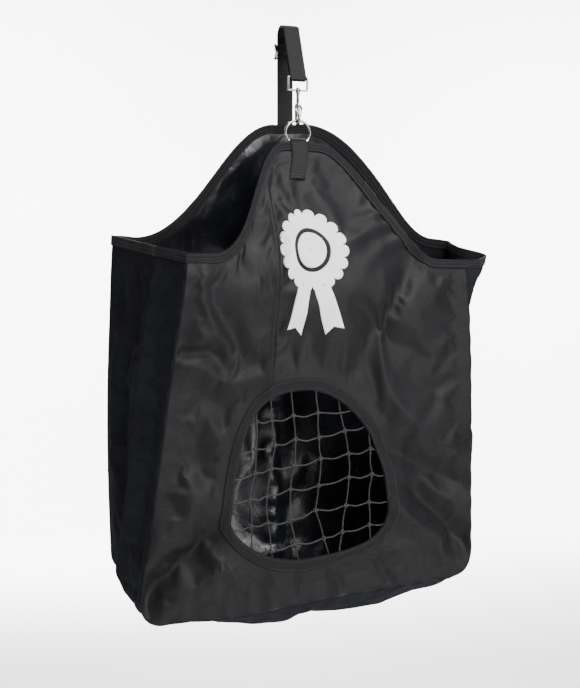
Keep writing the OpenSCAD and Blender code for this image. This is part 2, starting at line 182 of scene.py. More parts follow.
bagCloth = outerCloth("oxford_weave_black", "#0e0e0f", "#1e1e20", 0.13)
gussetCloth = outerCloth("oxford_weave_blue_black", "#141417", "#232429", 0.0)


def coatedLining():
    # PVC coating on the inside of the cloth: smooth and glossy, blue-black, crinkled all over
    material, tree, shader = newMaterial("pvc_coating", {"Roughness": 0.33, "Specular IOR Level": 0.6})
    cloudy = grain(tree, 45 * mm, 3.0, 0.6)
    dyed(tree, shader, cloudy, "#0b0c10", "#191b22", (0.3, 0.75))
    wide = addBump(tree, shader, grain(tree, 26 * mm, 4.0, 0.55, 0.4), 0.5, 4 * mm)
    addBump(tree, shader, grain(tree, 7 * mm, 2.0, 0.5, 0.3), 0.3, 0.7 * mm, wide)
    return material


lining = coatedLining()


def tapeTwill():
    # Polypropylene binding tape: a fine twill, ribbed on the slant
    material, tree, shader = newMaterial("binding_twill", {"Roughness": 0.8, "Specular IOR Level": 0.1,
                                                           "Sheen Weight": 0.06, "Sheen Roughness": 0.35})
    ribs = wovenHeight(tree, (2.4 * mm, 1.7 * mm), math.radians(38))
    fleck = grain(tree, 1.5 * mm, 2.0, 0.7)
    mixed = addNode(tree, "ShaderNodeMath", {"operation": "MULTIPLY_ADD", 1: 0.6}, {0: ribs, 2: fleck})
    dyed(tree, shader, mixed.outputs[0], "#0c0c0d", "#262628", (0.45, 1.15))
    addBump(tree, shader, mixed.outputs[0], 0.7, 0.5 * mm)
    return material


bindingTape = tapeTwill()


def wovenWebbing():
    # Polypropylene webbing: thick yarn, a slight gloss on each rib
    material, tree, shader = newMaterial("webbing_yarn", {"Roughness": 0.6, "Specular IOR Level": 0.25,
                                                          "Sheen Weight": 0.04, "Sheen Roughness": 0.35})
    yarn = wovenHeight(tree, (1.8 * mm, 1.8 * mm), math.radians(45))
    fleck = grain(tree, 1.2 * mm, 2.0, 0.6)
    mixed = addNode(tree, "ShaderNodeMath", {"operation": "MULTIPLY_ADD", 1: 0.7}, {0: yarn, 2: fleck})
    dyed(tree, shader, mixed.outputs[0], "#040405", "#131314", (0.4, 1.15))
    addBump(tree, shader, mixed.outputs[0], 0.8, 0.45 * mm)
    return material


webbingYarn = wovenWebbing()


def spunThread(name, dark, light, size, rough):
    # Spun yarn: fibres lie along it; lighter flecks are painted into its colour as glints where they catch
    # the light
    material, tree, shader = newMaterial(name, {"Roughness": rough, "Specular IOR Level": 0.5,
                                                "Sheen Weight": 0.08, "Sheen Roughness": 0.4})
    fleck = grain(tree, size, 3.0, 0.75)
    # painted glints: random flecks lighten the base colour where fibres would catch the light
    dyed(tree, shader, fleck, dark, light, (0.42, 0.66))
    addBump(tree, shader, fleck, 0.8, 0.3 * mm)
    return material


netTwine = spunThread("twisted_twine", "#0a0a0b", "#39393a", 1.0 * mm, 0.65)
blackThread = spunThread("bonded_thread", "#0c0c0d", "#2b2c2e", 0.8 * mm, 0.45)


def screenPrint():
    # Plastisol ink: thick opaque white that fills the weave and leaves it just visible
    material, tree, shader = newMaterial("plastisol_white", {"Roughness": 0.5, "Specular IOR Level": 0.45})
    fleck = grain(tree, 3 * mm, 2.0, 0.6)
    dyed(tree, shader, fleck, "#f2f3f2", "#fcfcfb", (0.3, 0.6))
    addBump(tree, shader, wovenHeight(tree, clothThreads), 0.25, 0.2 * mm)
    return material


whiteInk = screenPrint()


def platedMetal(name, dark, light):
    # Nickel plate over die-cast zinc: a warm grey mirror, softened by tumbling and fine handling marks
    material, tree, shader = newMaterial(name, {"Metallic": 1.0})
    dyed(tree, shader, grain(tree, 9 * mm, 4.0, 0.6), dark, light, (0.3, 0.7))
    roughened(tree, shader, grain(tree, 0.9 * mm, 3.0, 0.7), "#454545", "#5c5c5c", (0.35, 0.75))
    addBump(tree, shader, grain(tree, 4 * mm, 2.0, 0.5), 0.1, 0.08 * mm)
    return material


nickelPlate = platedMetal("nickel_plate", "#86827c", "#b3aea7")
pinSteel = platedMetal("bright_steel", "#9b9a98", "#c3c2c0")
print("materials ready")


def sheet(columns, rows, flatOf, placeOf):
    # a grid laid out flat in millimetres, then moved to its place; UV keeps the flat size in metres
    bm = bmesh.new()
    bmesh.ops.create_grid(bm, x_segments=columns, y_segments=rows, size=0.5)
    uv = bm.loops.layers.uv.new("UVMap")
    flat = {}
    for vert in bm.verts:
        flat[vert] = flatOf(vert.co.x + 0.5, vert.co.y + 0.5)
    for face in bm.faces:
        for loop in face.loops:
            loop[uv].uv = [c * mm for c in flat[loop.vert][:2]]
    for vert in bm.verts:
        vert.co = placeOf(*flat[vert])
    return bm


def tube(around, along, placeOf, lengthOf=None):
    # a grid rolled into a tube: s runs round it and t along it; the seam is welded and the ends closed
    bm = bmesh.new()
    bmesh.ops.create_grid(bm, x_segments=around, y_segments=along, size=0.5)
    uv = bm.loops.layers.uv.new("UVMap")
    for face in bm.faces:
        for loop in face.loops:
            s, t = loop.vert.co.x + 0.5, loop.vert.co.y + 0.5
            loop[uv].uv = lengthOf(s, t) if lengthOf else (s, t)
    for vert in bm.verts:
        vert.co = placeOf(vert.co.x + 0.5, vert.co.y + 0.5)
    bmesh.ops.remove_doubles(bm, verts=bm.verts, dist=1e-6)
    edges = [e for e in bm.edges if e.is_boundary]
    if edges:
        bmesh.ops.holes_fill(bm, edges=edges, sides=0)
    bmesh.ops.recalc_face_normals(bm, faces=bm.faces)
    return bm


def added(bm, other):
    # puts another bmesh into this one
    scratch = bpy.data.meshes.new("scratch")
    other.to_mesh(scratch)
    other.free()
    bm.from_mesh(scratch)
    bpy.data.meshes.remove(scratch)


def holdAt(away, fade=22, loose=0.02):
    # 1 at a seam, fading over so many millimetres to nearly loose cloth
    return mix(1.0, loose, ease(away / fade))


def pinned(bm, weightOf):
    # how firmly each point of a sheet, still lying flat, is held while the cloth settles
    layer = bm.verts.layers.deform.verify()
    for vert in bm.verts:
        vert[layer][0] = weightOf(vert.co.x, vert.co.y)


def finished(bm, name, materials):
    mesh = bpy.data.meshes.new(name)
    bm.to_mesh(mesh)
    bm.free()
    for material in materials:
        mesh.materials.append(material)
    mesh.shade_smooth()
    piece = bpy.data.objects.new(name, mesh)
    scene.collection.objects.link(piece)
    return piece


def belongs(piece, body, slot, *nodes):
    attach(piece, body)
    if nodes:
        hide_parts(*nodes)


def thicken(piece, thickness, inside=1, offset=-1.0):
    wall = piece.modifiers.new("wall", "SOLIDIFY")
    wall.thickness = thickness
    wall.offset = offset
    wall.use_even_offset = True
    wall.material_offset = inside
    wall.material_offset_rim = 0


def applied(piece):
    graph = bpy.context.evaluated_depsgraph_get()
    mesh = bpy.data.meshes.new_from_object(piece.evaluated_get(graph))
    piece.modifiers.clear()
    old = piece.data
    piece.data = mesh
    bpy.data.meshes.remove(old)


# The cloth: mass of a point in kg, stiffness, and how much longer the cloth is than its first shape
settle = dict(frames=18, quality=5, mass=0.0002, tension=30.0, shear=8.0, bending=6.0, slack=0.02, air=3.0)


def settled(piece, slack=settle["slack"]):
    # the cloth falls into its folds between the seams that hold it
    piece.vertex_groups.new(name="held")
    cloth = piece.modifiers.new("cloth", "CLOTH")
    fabric = cloth.settings
    fabric.quality = settle["quality"]
    fabric.mass = settle["mass"]
    fabric.tension_stiffness = settle["tension"]
    fabric.compression_stiffness = settle["tension"]
    fabric.shear_stiffness = settle["shear"]
    fabric.bending_stiffness = settle["bending"]
    fabric.air_damping = settle["air"]
    fabric.vertex_group_mass = "held"
    fabric.pin_stiffness = 1.0
    fabric.shrink_min = -slack
    cloth.point_cache.frame_start = 1
    cloth.point_cache.frame_end = settle["frames"]
    for k in range(1, settle["frames"] + 1):
        scene.frame_set(k)
    applied(piece)
    piece.vertex_groups.clear()
    scene.frame_set(1)


# The shape of the bag. Flat places are (x, h) in millimetres: across from the middle, and up from the
# bottom seam.
frontLow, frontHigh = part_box("front_panel")
backLow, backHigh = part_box("back_panel")
seamZ = frontLow.z
bag = dict(
    halfWidth=frontHigh.x / mm,                     # half the width of a panel
    sideHeight=480,                                 # mouth height at the sides
    frontPeak=(frontHigh.z - seamZ) / mm,
    backPeak=(backHigh.z - seamZ) / mm,
    frontCrown=30, frontFoot=200,                   # half the peak's flat top, and where its slope ends
    backCrown=20, backFoot=225,
    corner=35,                                      # bottom corners' radius
    front=frontLow.y / mm,                          # depth of the front panel at the base
    back=backHigh.y / mm,
    frontTop=frontHigh.y / mm - 2,                  # depth of the outside at each peak
    backTop=backLow.y / mm + 2,
    leanFrom=420, leanBend=80,                      # where the panels start to lean in, and how gently
    cell=3.6,                                       # size of the cloth's cells
    tape=12,                                        # width of the mouth tape
    cloth=0.9,                                      # thickness of the coated cloth
    sag=38, belly=12)                               # how far the base hangs down and the sides stand out


def crown(x, top, foot):
    u = (min(abs(x), foot) - top) / (foot - top)
    return 1.0 if u <= 0 else (1 + math.cos(math.pi * u)) / 2


def frontRim(x):
    return mix(bag["sideHeight"], bag["frontPeak"], crown(x, bag["frontCrown"], bag["frontFoot"]))


def backRim(x):
    return mix(bag["sideHeight"], bag["backPeak"], crown(x, bag["backCrown"], bag["backFoot"]))


def lean(h, reach, peak):
    k = reach / (peak - bag["leanFrom"] - bag["leanBend"] / 2)
    s = h - bag["leanFrom"]
    if s <= 0:
        return 0.0
    return k * s * s / (2 * bag["leanBend"]) if s < bag["leanBend"] else k * (s - bag["leanBend"] / 2)


def halfWidth(h):
    r = bag["corner"]
    low = max(0.0, r - h)
    return bag["halfWidth"] - r + math.sqrt(max(0.0, r * r - low * low))


# Folds in the front panel: each runs from (x, h) to (x, h), with its width and its height out of the
# panel (negative for a valley); all fade out alike towards their ends.
frontFolds = [
    ((-6, 640), (-60, 470), 26, 3.5),
    ((2, 640), (18, 430), 22, -3.0),
    ((8, 640), (75, 460), 24, 4.0),
    ((14, 640), (110, 480), 18, -3.0),
    ((-20, 640), (-105, 500), 18, -2.5),
    ((138, 540), (62, 500), 9, 5.0),
    ((150, 520), (84, 470), 10, 4.5),
    ((132, 556), (74, 530), 8, 3.5),
    ((160, 500), (112, 380), 18, -9.0),
    ((108, 460), (106, 290), 7, 2.2),
    ((60, 420), (130, 345), 22, -8.0),
    ((-243, 352), (-168, 352), 9, -9.0),
    ((-243, 338), (-170, 322), 14, 4.5),
    ((-108, 448), (-108, 408), 5, 2.6),
    ((-150, 120), (-262, 22), 22, -18.0),
    ((-170, 160), (-250, 100), 30, 6.0),
    ((-130, 60), (-235, 12), 20, 6.0),
    ((112, 208), (232, 142), 18, -13.0),
    ((150, 150), (244, 44), 17, -14.0),
    ((118, 122), (182, 74), 16, 7.0),
    ((140, 250), (230, 190), 34, 5.0),
    ((-60, 48), (-60, 0), 9, 3.0),
    ((-28, 46), (-22, 0), 7, -3.0),
    ((30, 40), (52, 0), 8, 2.5),
    ((96, 52), (120, 4), 9, -3.0),
    ((-214, 470), (-208, 330), 20, 5.0),
]


def foldHeight(folds, x, h):
    total = 0.0
    for (x1, h1), (x2, h2), width, height in folds:
        dx, dh = x2 - x1, h2 - h1
        length2 = dx * dx + dh * dh
        t = ((x - x1) * dx + (h - h1) * dh) / length2
        if not -0.25 < t < 1.25:
            continue
        away = (dx * (h - h1) - dh * (x - x1)) / math.sqrt(length2)
        if abs(away) > 2.6 * width:
            continue
        total += height * hump(away / width) * ease((t + 0.25) / 0.4) * ease((1.25 - t) / 0.5)
    return total


# The pleat down the front: its left lip stands out and hides a strip of the print
pleat = dict(top=(-62, 590), low=(-76, 296), lip=10.0, fade=42.0, under=5.0)


def pleatHeight(x, h):
    (x1, h1), (x2, h2) = pleat["top"], pleat["low"]
    t = (h1 - h) / (h1 - h2)
    if not -0.1 < t < 1.05:
        return 0.0
    line = mix(x1, x2, t)
    strength = ease((t + 0.1) / 0.35) * ease((1.05 - t) / 0.12)
    d = x - line
    if d <= 0:
        return pleat["lip"] * strength * math.exp(d / pleat["fade"])
    return pleat["lip"] * strength * (1 - ease(d / pleat["under"]))


def ripple(x, h, size, seed):
    # smooth uneven height, between -1 and 1, with waves about size millimetres apart
    return noise.noise(Vector((x / size, h / size, seed * 7.31)))


backFolds = [((-40, 650), (-190, 470), 26, 12.0)]


def edgeDistance(x, h, rim):
    return max(0.0, min(halfWidth(h) - abs(x), h, rim(x) - h))


def frontPoint(x, h):
    rim = frontRim(x)
    up = min(h / bag["sideHeight"], 1.0)
    # the panel hangs a little to the left of its peak, and its left side is drawn in towards the top
    wide = x * (1 - 0.278 * up if x < 0 else 1) - 13 * ease(max((rim - 6 - h) / 60, (abs(x) - 140) / 80))
    deep = bag["front"] + lean(h, bag["frontTop"] - bag["front"], bag["frontPeak"])
    across = x / bag["halfWidth"]
    inset = ease(edgeDistance(x, h, frontRim) / 60)
    # soft fullness, and the cloth's own unevenness
    deep -= 5 * inset * math.cos(across * math.pi / 2) * ease(h / 60) * ease((430 - h) / 200)
    deep -= 8 * ease(-across) * ease((h - 250) / 200)
    deep += 9 * ease(across) * ease((h - 300) / 180)
    deep -= foldHeight(frontFolds, x, h) * ease(edgeDistance(x, h, frontRim) / 14 + 0.25)
    deep -= pleatHeight(x, h)
    deep -= inset * (2.6 * ripple(x, h, 95, 1) + 0.8 * ripple(x * 1.6, h * 0.7, 38, 2))
    # puckers where the bottom and side seams gather the cloth
    deep -= 1.3 * math.sin(x / 5.2 + 2 * ripple(x, 0, 40, 4)) * math.exp(-h / 16)
    deep -= 0.9 * math.sin(h / 5.5 + 2 * ripple(0, h, 40, 5)) * math.exp(-(halfWidth(h) - abs(x)) / 11)
    rise = h + (0.1 * x - 5.5 * hump((x + 90) / 80)) * (1 - up)
    rise += 4 * hump(x / 90) * ease((h - 480) / 150)
    return Vector((wide, deep, rise)) * mm + Vector((0, 0, seamZ))


def backPoint(x, h):
    up = min(h / bag["sideHeight"], 1.0)
    across = x / bag["halfWidth"]
    side = 252 + 7 * math.sin(math.pi * up) if x < 0 else mix(246, 262, up)
    wide = across * side
    deep = bag["back"] - lean(h, bag["back"] - bag["backTop"], bag["backPeak"])
    inset = ease(edgeDistance(x, h, backRim) / 60)
    deep += 3 * inset * math.cos(across * math.pi / 2) * ease(h / 60) * ease((430 - h) / 200)
    deep += inset * (2.5 * ripple(x, h, 85, 11) + 1.0 * ripple(x * 1.5, h * 0.8, 34, 12))
    # a gathered line down the middle of the lining
    line = hump((x + 6) / 13)
    deep -= line * (3.5 + 1.6 * math.sin(h / 4.4 + 2.5 * ripple(0, h, 30, 14))) * ease((430 - h) / 60)
    deep -= foldHeight(backFolds, x, h)
    # the right side of the rim falls forward, and both mouth corners stand higher than the front's
    deep -= 50 * ease(x / 170) * ease((h - 330) / 170)
    rise = h + (14 - 0.04 * x) * (1 - up)
    rise += (34 * ease((abs(x) - 100) / 140) + 34 * hump((x - 130) / 70)) * ease((h - 380) / 100)
    return Vector((wide, deep, rise)) * mm + Vector((0, 0, seamZ))


def outline(s):
    # the gusset's way round the panels: s is millimetres from the left mouth corner
    r, w, top = bag["corner"], bag["halfWidth"], bag["sideHeight"]
    side, arc, base = top - r, r * math.pi / 2, 2 * (w - r)
    if s > side + arc + base / 2:
        x, h = outline(2 * (side + arc) + base - s)
        return -x, h
    if s <= side:
        return -w, top - s
    if s <= side + arc:
        a = (s - side) / r
        return -w + r - r * math.cos(a), r - r * math.sin(a)
    return -w + r + s - side - arc, 0.0


stripLength = (2 * (bag["sideHeight"] - bag["corner"]) + bag["corner"] * math.pi
               + 2 * (bag["halfWidth"] - bag["corner"]))
stripWidth = 176
gussetFolds = [     # along the strip and across it: (s, v) to (s, v), width, height
    ((30, 60), (420, 48), 11, 7.0),
    ((70, 100), (400, 92), 12, -6.0),
    ((120, 140), (380, 128), 12, 5.0),
    ((200, 20), (440, 22), 8, -3.5),
    ((330, 40), (470, 120), 12, 5.0),
    ((440, 30), (470, 150), 9, -4.0),
    ((690, 0), (700, 120), 9, 2.0),
    ((740, 0), (728, 90), 8, -2.0),
    ((620, 30), (640, 150), 14, -2.5),
    ((840, 10), (850, 130), 12, 2.0),
    ((1040, 40), (1300, 60), 14, 7.0),
    ((1060, 110), (1330, 120), 14, -6.0)]


def gussetPoint(s, v):
    x, h = outline(s)
    front, back = frontPoint(x, h), backPoint(x, h)
    f = v / stripWidth
    swell = 1 - (2 * f - 1) ** 2
    place = front.lerp(back, f)
    r = bag["corner"]
    outward = Vector((x / bag["halfWidth"] if h > 0 else 0, 0, -ease((r - h) / r))).normalized()
    edge = min(f, 1 - f) * stripWidth
    amount = bag["belly"] * math.sin(math.pi * max(0, min(1, (h - r) / (456 - r)))) if h > r else 0
    amount += bag["sag"] * (1 - (x / bag["halfWidth"]) ** 2) * ease((r - h) / r)
    if x > 0:       # the right mouth edge bows out towards the front
        amount += 42 * ease((h - 395) / 90) * math.exp(-((f - 0.3) / 0.32) ** 2) / max(swell, 0.2)
    amount = amount * swell + foldHeight(gussetFolds, s, v) * ease(edge / 18)
    amount += (2.2 * ripple(s, v, 70, 21) + 1.4 * ripple(s, v * 1.6, 26, 22)) * ease(edge / 25)
    amount += 0.9 * math.sin(s / 5.4 + 2 * ripple(s, 0, 40, 23)) * math.exp(-edge / 9) * ease(edge / 3)
    return place + outward * amount * mm


tabBottom = (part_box("ring_tab")[0].z - seamZ) / mm

# The hole's reach to each side of its middle, and how square each quarter is
hole = dict(x=-12, h=126, left=116, right=126, up=169, down=64, tape=17,
            upperLeft=3.0, upperRight=1.9, lowerLeft=1.6, lowerRight=3.0)


def holeRadius(a):
    c, s = math.cos(a), math.sin(a)
    wide = hole["right"] if c > 0 else hole["left"]
    tall = hole["up"] if s > 0 else hole["down"]
    power = hole[("upper" if s > 0 else "lower") + ("Right" if c > 0 else "Left")]
    return (abs(c / wide) ** power + abs(s / tall) ** power) ** (-1 / power)


def holePoint(a, out=0.0):
    r = holeRadius(a) + out
    return hole["x"] + r * math.cos(a), hole["h"] + r * math.sin(a)


def inHoleBy(x, h):
    # how far a flat place is inside the hole's edge; negative outside it
    a = math.atan2(h - hole["h"], x - hole["x"])
    return holeRadius(a) - math.hypot(x - hole["x"], h - hole["h"])


def panelFlat(rim):
    # even rows up to the mouth tape, which follows the rim
    rows = round(bag["sideHeight"] / bag["cell"])
    tapeRows = 3

    def flatOf(s, t):
        x = (2 * s - 1) * bag["halfWidth"]
        slope = (rim(x + 1) - rim(x - 1)) / 2
        drop = bag["tape"] * math.sqrt(1 + slope * slope)
        row = t * rows
        if row > rows - tapeRows - 0.5:
            h = rim(x) - drop * (rows - row) / tapeRows
        else:
            h = (rim(x) - drop) * row / (rows - tapeRows)
        return (2 * s - 1) * halfWidth(h), h
    return rows, flatOf


panelColumns = round(2 * bag["halfWidth"] / bag["cell"])
panelRows, frontFlat = panelFlat(frontRim)
bm = sheet(panelColumns, panelRows, frontFlat, lambda x, h: Vector((x, h, 0)))
cutBack = 4         # the cloth's edge lies this far under the hole's tape
inHole = []
for face in bm.faces:
    middle = face.calc_center_median()
    if inHoleBy(middle.x, middle.y) > -cutBack:
        inHole.append(face)
bmesh.ops.delete(bm, geom=inHole, context="FACES")
for vert in bm.verts:
    if vert.is_boundary and inHoleBy(vert.co.x, vert.co.y) > -cutBack - 10:
        a = math.atan2(vert.co.y - hole["h"], vert.co.x - hole["x"])
        vert.co.x, vert.co.y = holePoint(a, cutBack)

# What holds the cloth while it settles: the seams, the hole's tape, the tab or strap, and the pleat
grip = dict(rim=10, hole=20, webbing=13)


def frontHeld(x, h):
    toTab = max(abs(x) - grip["webbing"], tabBottom - h)
    (x1, h1), (x2, h2) = pleat["top"], pleat["low"]
    along = (h1 - h) / (h1 - h2)
    toPleat = abs(x - mix(x1, x2, along)) + 400 * max(0.0, -0.1 - along, along - 1)
    toRim = edgeDistance(x, h, frontRim) - grip["rim"]
    return holdAt(min(toRim, -inHoleBy(x, h) - grip["hole"], toTab, toPleat))


pinned(bm, frontHeld)
for vert in bm.verts:
    vert.co = frontPoint(vert.co.x, vert.co.y)
bmesh.ops.recalc_face_normals(bm, faces=bm.faces)
if sum(face.normal.y for face in bm.faces) > 0:
    bmesh.ops.reverse_faces(bm, faces=bm.faces)
frontPanel = finished(bm, "frontPanel", [bagCloth, lining])
settled(frontPanel)
thicken(frontPanel, bag["cloth"] * mm)
belongs(frontPanel, "bag", "bag_cloth", "front_panel")
print("front panel ready")

anchorFrom = bag["backPeak"] - 75
backRows, backFlat = panelFlat(backRim)
bm = sheet(panelColumns, backRows, backFlat, lambda x, h: Vector((x, h, 0)))


def backHeld(x, h):
    toRim = edgeDistance(x, h, backRim) - grip["rim"]
    return holdAt(min(toRim, max(abs(x) - grip["webbing"], anchorFrom - h)))


pinned(bm, backHeld)
for vert in bm.verts:
    vert.co = backPoint(vert.co.x, vert.co.y)
bmesh.ops.recalc_face_normals(bm, faces=bm.faces)
if sum(face.normal.y for face in bm.faces) < 0:
    bmesh.ops.reverse_faces(bm, faces=bm.faces)
backPanel = finished(bm, "backPanel", [bagCloth, lining])
settled(backPanel, slack=0.008)
thicken(backPanel, bag["cloth"] * mm)
belongs(backPanel, "bag", "bag_cloth", "back_panel")
print("back panel ready")

# The gusset goes down the left side, across the base and up the right side
gussetColumns = round(stripLength / bag["cell"])
gussetRows = round(stripWidth / bag["cell"])


def gussetFlat(s, t):
    return s * stripLength, t * stripWidth


def gussetHeld(s, v):
    toMouth = min(s, stripLength - s) - grip["rim"]
    toSeam = min(v, stripWidth - v) - 3
    return holdAt(min(toMouth, toSeam), fade=25, loose=0.03)


bm = sheet(gussetColumns, gussetRows, gussetFlat, lambda s, v: Vector((s, v, 0)))
pinned(bm, gussetHeld)
for vert in bm.verts:
    vert.co = gussetPoint(vert.co.x, vert.co.y)
bmesh.ops.recalc_face_normals(bm, faces=bm.faces)
if sum(face.normal.z for face in bm.faces if face.calc_center_median().z < seamZ) > 0:
    bmesh.ops.reverse_faces(bm, faces=bm.faces)
gusset = finished(bm, "sideGusset", [gussetCloth, lining])
settled(gusset)
thicken(gusset, bag["cloth"] * mm)
belongs(gusset, "bag", "gusset_cloth", "gusset")
print("gusset ready")


def tapeStrip(columns, edgePoint):
    # tape folded over the mouth; edgePoint(s, down) is the place down millimetres below the rim
    downs = [-1.2, 4, 8, bag["tape"]]
    return sheet(columns, 3, lambda s, t: (s, downs[3 - round(3 * t)]), edgePoint)


def alongPanel(rim, placeOf):
    def edgePoint(s, down):
        x = (2 * s - 1) * bag["halfWidth"]
        slope = (rim(x + 1) - rim(x - 1)) / 2
        return placeOf(x, rim(x) - down * math.sqrt(1 + slope * slope))
    return edgePoint


def alongGusset(side):
    def edgePoint(s, down):
        way = down if side < 0 else stripLength - down
        return gussetPoint(way, s * stripWidth)
    return edgePoint


mouth = tapeStrip(panelColumns, alongPanel(frontRim, frontPoint))
added(mouth, tapeStrip(panelColumns, alongPanel(backRim, backPoint)))
added(mouth, tapeStrip(gussetRows, alongGusset(-1)))
added(mouth, tapeStrip(gussetRows, alongGusset(1)))
bmesh.ops.remove_doubles(mouth, verts=mouth.verts, dist=0.6 * mm)
bmesh.ops.recalc_face_normals(mouth, faces=mouth.faces)
mouthBinding = finished(mouth, "mouthBinding", [bindingTape])
thicken(mouthBinding, 3.2 * mm, 0, 0.0)
rounded = mouthBinding.modifiers.new("rounded", "BEVEL")
rounded.width = 0.9 * mm
rounded.segments = 2
rounded.limit_method = "ANGLE"
rounded.angle_limit = math.radians(50)
belongs(mouthBinding, "bag", "edge_tape", "mouth_binding")


# The hole tape's section, folded round the cloth's edge: (outwards, proud of the panel) in millimetres
tapeProfile = [(hole["tape"], 0.9), (hole["tape"] * 0.75, 1.4), (hole["tape"] * 0.5, 1.5),
               (hole["tape"] * 0.25, 1.5), (1.5, 1.5), (0.2, 1.0), (-0.4, -0.6), (0.2, -2.4), (1.5, -2.8),
               (hole["tape"] * 0.5, -2.7), (hole["tape"], -2.0), (hole["tape"], -0.4)]
holeSteps = 220


def holeTapePlace(s, t):
    a = 2 * math.pi * (t % 1.0)
    out, proud = tapeProfile[round(s * len(tapeProfile)) % len(tapeProfile)]
    place = frontPoint(*holePoint(a, out))
    return place + Vector((0, -proud, 0)) * mm


bm = tube(len(tapeProfile), holeSteps, holeTapePlace,
          lambda s, t: (s * 2.2 * hole["tape"] * mm, t * 750 * mm))
holeBinding = finished(bm, "holeBinding", [bindingTape])
belongs(holeBinding, "bag", "edge_tape", "hole_binding")
print("tapes ready")


def smoothPath(points, spacing):
    # a smooth line through the points, cut into even steps
    dense = []
    for i in range(len(points) - 1):
        p0, p1 = points[max(i - 1, 0)], points[i]
        p2, p3 = points[i + 1], points[min(i + 2, len(points) - 1)]
        for k in range(12):
            t = k / 12
            dense.append(0.5 * ((2 * p1) + (p2 - p0) * t + (2 * p0 - 5 * p1 + 4 * p2 - p3) * t * t
                                + (3 * p1 - p0 - 3 * p2 + p3) * t ** 3))
    dense.append(points[-1])
    total = sum((dense[i + 1] - dense[i]).length for i in range(len(dense) - 1))
    count = max(2, round(total / spacing))
    even, walked, i = [dense[0]], 0.0, 0
    for k in range(1, count):
        goal = total * k / count
        while walked + (dense[i + 1] - dense[i]).length < goal:
            walked += (dense[i + 1] - dense[i]).length
            i += 1
        step = (dense[i + 1] - dense[i]).length
        even.append(dense[i].lerp(dense[i + 1], (goal - walked) / step))
    even.append(dense[-1])
    return even


def twistedCord(points, radius, spacing, pitch, sides=10):
    # a cord of two twisted plies: the lobed outline turns once in every pitch
    line = smoothPath(points, spacing)
    count = len(line) - 1
    frames, side = [], None
    for i, place in enumerate(line):
        ahead = (line[min(i + 1, count)] - line[max(i - 1, 0)]).normalized()
        if side is None:
            side = ahead.orthogonal().normalized()
        side = (side - ahead * side.dot(ahead)).normalized()
        frames.append((place, side, ahead.cross(side)))

    def placeOf(s, t):
        i = round(t * count)
        place, side, other = frames[i]
        a = 2 * math.pi * (s % 1.0)
        turn = 2 * math.pi * i * spacing / pitch
        r = radius * (0.84 + 0.16 * math.cos(2 * (a - turn)))
        return place + side * r * math.cos(a) + other * r * math.sin(a)
    return tube(sides, count, placeOf, lambda s, t: (s * 6.9 * mm, t * count * spacing))


# The net across the hole, in millimetres
net = dict(cord=1.2, pitch=7.0,                     # the cord's radius, and the length of its twist
           columns=(-97, -68, -30, 13, 54, 89),     # where the upright cords run
           rows=(87, 123, 161, 196, 229, 263),      # and the level ones
           rise=0.07,                               # how much the rows rise to the right
           sag=5.0, droop=3.2, sway=1.6,            # slack inwards, down and sideways
           knot=0.95, knotCord=1.45,                # size of a knot, and its cord's radius
           inside=5,                                # a knot is at least this far inside the hole
           under=7)                                 # a cord ends this far under the tape


def netNode(i, j):
    # the knots drift a little from their rows, which rise to the right
    x, h = net["columns"][i], net["rows"][j]
    dx = 8.0 * ripple(i * 31, j * 17, 20, 31) + 3.5 * math.sin(1.7 * j + i)
    dh = 7.0 * ripple(i * 23, j * 29, 20, 32) + net["rise"] * (x + 5)
    return x + dx, h + dh


def netPlace(x, h, out=0.0):
    middle = ease(1 - math.hypot(x - hole["x"], h - hole["h"] - 30) / 150)
    return frontPoint(x, h) + Vector((0, (2.0 + net["sag"] * middle - out), 0)) * mm


def toEdge(inner, outer):
    # from a knot outwards to where the cord goes under the tape
    for k in range(1, 60):
        t = k / 10
        x, h = mix(inner[0], outer[0], t), mix(inner[1], outer[1], t)
        if inHoleBy(x, h) < -net["under"]:
            return x, h
    return outer


def cordThrough(nodes, bend):
    # one cord through its knots; bend lifts it over or under the crossing cords
    inside = [n for n in nodes if inHoleBy(*n) > net["inside"]]
    if len(inside) < 2:
        return None
    first = toEdge(inside[0], tuple(2 * a - b for a, b in zip(inside[0], inside[1])))
    last = toEdge(inside[-1], tuple(2 * a - b for a, b in zip(inside[-1], inside[-2])))
    route = [first] + inside + [last]
    points = []
    for k, (a, b) in enumerate(zip(route, route[1:])):
        points.append(netPlace(*a, out=bend))
        sway = net["sway"] * math.sin(2.3 * k + a[0])
        level = abs(b[0] - a[0]) / (abs(b[0] - a[0]) + abs(b[1] - a[1]))    # 0 upright, 1 level
        middleX = mix(a[0], b[0], 0.5) + sway * (1 - level)
        middleH = mix(a[1], b[1], 0.5) - net["droop"] * level + sway * level * 0.4
        points.append(netPlace(middleX, middleH))
    points.append(netPlace(*route[-1], out=bend))
    return points


def knot(place, turn, size):
    # a simple overhand knot round the crossing
    points = []
    for k in range(25):
        a = 2 * math.pi * k / 24
        u = math.sin(a) + 2 * math.sin(2 * a)
        v = math.cos(a) - 2 * math.cos(2 * a)
        w = -math.sin(3 * a)
        x = u * math.cos(turn) - v * math.sin(turn)
        z = u * math.sin(turn) + v * math.cos(turn)
        points.append(place + Vector((x, w * 0.9, z)) * size)
    return points


